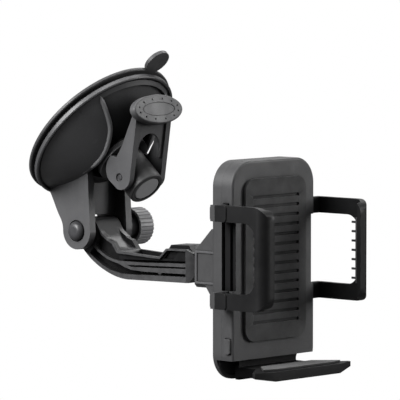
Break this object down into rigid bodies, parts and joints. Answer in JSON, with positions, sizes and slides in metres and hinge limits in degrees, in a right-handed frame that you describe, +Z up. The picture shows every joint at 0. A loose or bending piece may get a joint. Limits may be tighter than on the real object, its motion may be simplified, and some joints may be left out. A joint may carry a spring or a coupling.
{
  "type": "car phone mount",
  "caption": "Windscreen phone mount: lever suction cup, jointed arm, ball joint and a cradle with two sliding jaws and a foot shelf.",
  "frame": {"origin": "centre of the suction cup's flat rim, where it meets the glass", "axes": "+X across the phone, +Y away from the driver towards the glass, +Z up, as mounted on a raked windscreen"},
  "size_m": [0.0788, 0.1623, 0.1475],
  "materials": {
    "satin_plastic": "satin black moulding with a soft sheen",
    "matte_plastic_dark": "fine spark-eroded grain, dark grey",
    "gloss_plastic_black": "polished black moulding",
    "washer_nylon": "natural nylon, satin",
    "cup_rubber": "smooth flexible rubber",
    "grip_rubber": "ribbed soft rubber",
    "steel": "zinc-plated steel",
    "black_steel": "black-oxide bolt head, satin",
    "spring_steel": "drawn spring wire"
  },
  "bodies": {
    "base": {"base_housing": "satin_plastic", "suction_cup": "cup_rubber", "clevis_bolt": "black_steel", "friction_washers": "washer_nylon", "knob_washer": "steel", "return_spring": "spring_steel"},
    "stem": {"stem": "satin_plastic", "stem_cap": "matte_plastic_dark", "cup_insert": "steel", "cup_core": "cup_rubber", "lever_pin": "black_steel"},
    "lever": {"lever": "matte_plastic_dark", "lever_badge": "matte_plastic_dark"},
    "knob": {"knob": "matte_plastic_dark", "knob_nut": "steel"},
    "arm": {"arm": "gloss_plastic_black", "ball_stud": "gloss_plastic_black"},
    "rear_seat": {"rear_seat": "washer_nylon"},
    "front_seat": {"front_seat": "washer_nylon"},
    "cradle": {"socket_cap": "matte_plastic_dark", "swivel_hub": "matte_plastic_dark", "cap_screws": "steel", "hub_screws": "steel", "back_shell": "matte_plastic_dark", "front_shell": "matte_plastic_dark", "front_pad": "grip_rubber", "case_screws": "steel", "pinion_pin": "steel", "pawl_pin": "steel", "button_spring": "spring_steel"},
    "pinion": {"pinion": "washer_nylon"},
    "left_jaw": {"left_jaw": "matte_plastic_dark", "left_rack": "matte_plastic_dark", "left_grip": "grip_rubber"},
    "right_jaw": {"right_jaw": "matte_plastic_dark", "right_rack": "matte_plastic_dark", "right_grip": "grip_rubber"},
    "foot": {"foot": "matte_plastic_dark", "foot_pad": "grip_rubber"},
    "button": {"release_button": "matte_plastic_dark"},
    "pawl": {"pawl": "washer_nylon"}
  },
  "joints": [
    {"name": "stem_slide", "type": "slide", "parent": "base", "child": "stem", "axis": [0, 0.749, 0.6626], "range_m": [0, 0.0055], "deforming": ["return_spring"]},
    {"name": "lever_pivot", "type": "hinge", "parent": "stem", "child": "lever", "pos_m": [0, -0.02472, -0.02187], "axis": [1, 0, 0], "range_deg": [0, 90]},
    {"name": "knob_turn", "type": "hinge", "parent": "base", "child": "knob", "pos_m": [0.0254, 0.0008, -0.0482], "axis": [1, 0, 0], "continuous": true},
    {"name": "arm_pivot", "type": "hinge", "parent": "base", "child": "arm", "pos_m": [0, 0.0008, -0.0482], "axis": [1, 0, 0], "range_deg": [-25, 60]},
    {"name": "ball_pan", "type": "hinge", "parent": "arm", "child": "rear_seat", "pos_m": [0, -0.076, -0.061], "axis": [0, 0, 1], "range_deg": [-15, 15]},
    {"name": "ball_tilt", "type": "hinge", "parent": "rear_seat", "child": "front_seat", "pos_m": [0, -0.076, -0.061], "axis": [1, 0, 0], "range_deg": [-15, 15]},
    {"name": "ball_spin", "type": "hinge", "parent": "front_seat", "child": "cradle", "pos_m": [0, -0.076, -0.061], "axis": [0, 1, 0], "continuous": true},
    {"name": "left_jaw_slide", "type": "slide", "parent": "cradle", "child": "left_jaw", "axis": [-1, 0, 0], "range_m": [-0.005, 0.009]},
    {"name": "right_jaw_slide", "type": "slide", "parent": "cradle", "child": "right_jaw", "axis": [1, 0, 0], "range_m": [-0.005, 0.009]},
    {"name": "pinion_turn", "type": "hinge", "parent": "cradle", "child": "pinion", "pos_m": [0, -0.106, -0.0528], "axis": [0, 1, 0], "range_deg": [-90, 50]},
    {"name": "foot_slide", "type": "slide", "parent": "cradle", "child": "foot", "axis": [0, 0, -1], "range_m": [0, 0.012]},
    {"name": "button_press", "type": "slide", "parent": "cradle", "child": "button", "axis": [1, 0, 0], "range_m": [0, 0.0015], "stiffness_N_per_m": 400, "springref_m": -0.001, "deforming": ["button_spring"]},
    {"name": "pawl_swing", "type": "hinge", "parent": "cradle", "child": "pawl", "pos_m": [0.001, -0.106, -0.082], "axis": [0, 1, 0], "range_deg": [-7.5, 0]}
  ],
  "couplings": [
    {"joint": "lever_pivot", "follows": "stem_slide", "rad_per_m": 285.6},
    {"joint": "right_jaw_slide", "follows": "left_jaw_slide", "ratio": 1},
    {"joint": "pinion_turn", "follows": "left_jaw_slide", "rad_per_m": -166.67},
    {"joint": "pawl_swing", "follows": "button_press", "rad_per_m": -83.333}
  ]
}
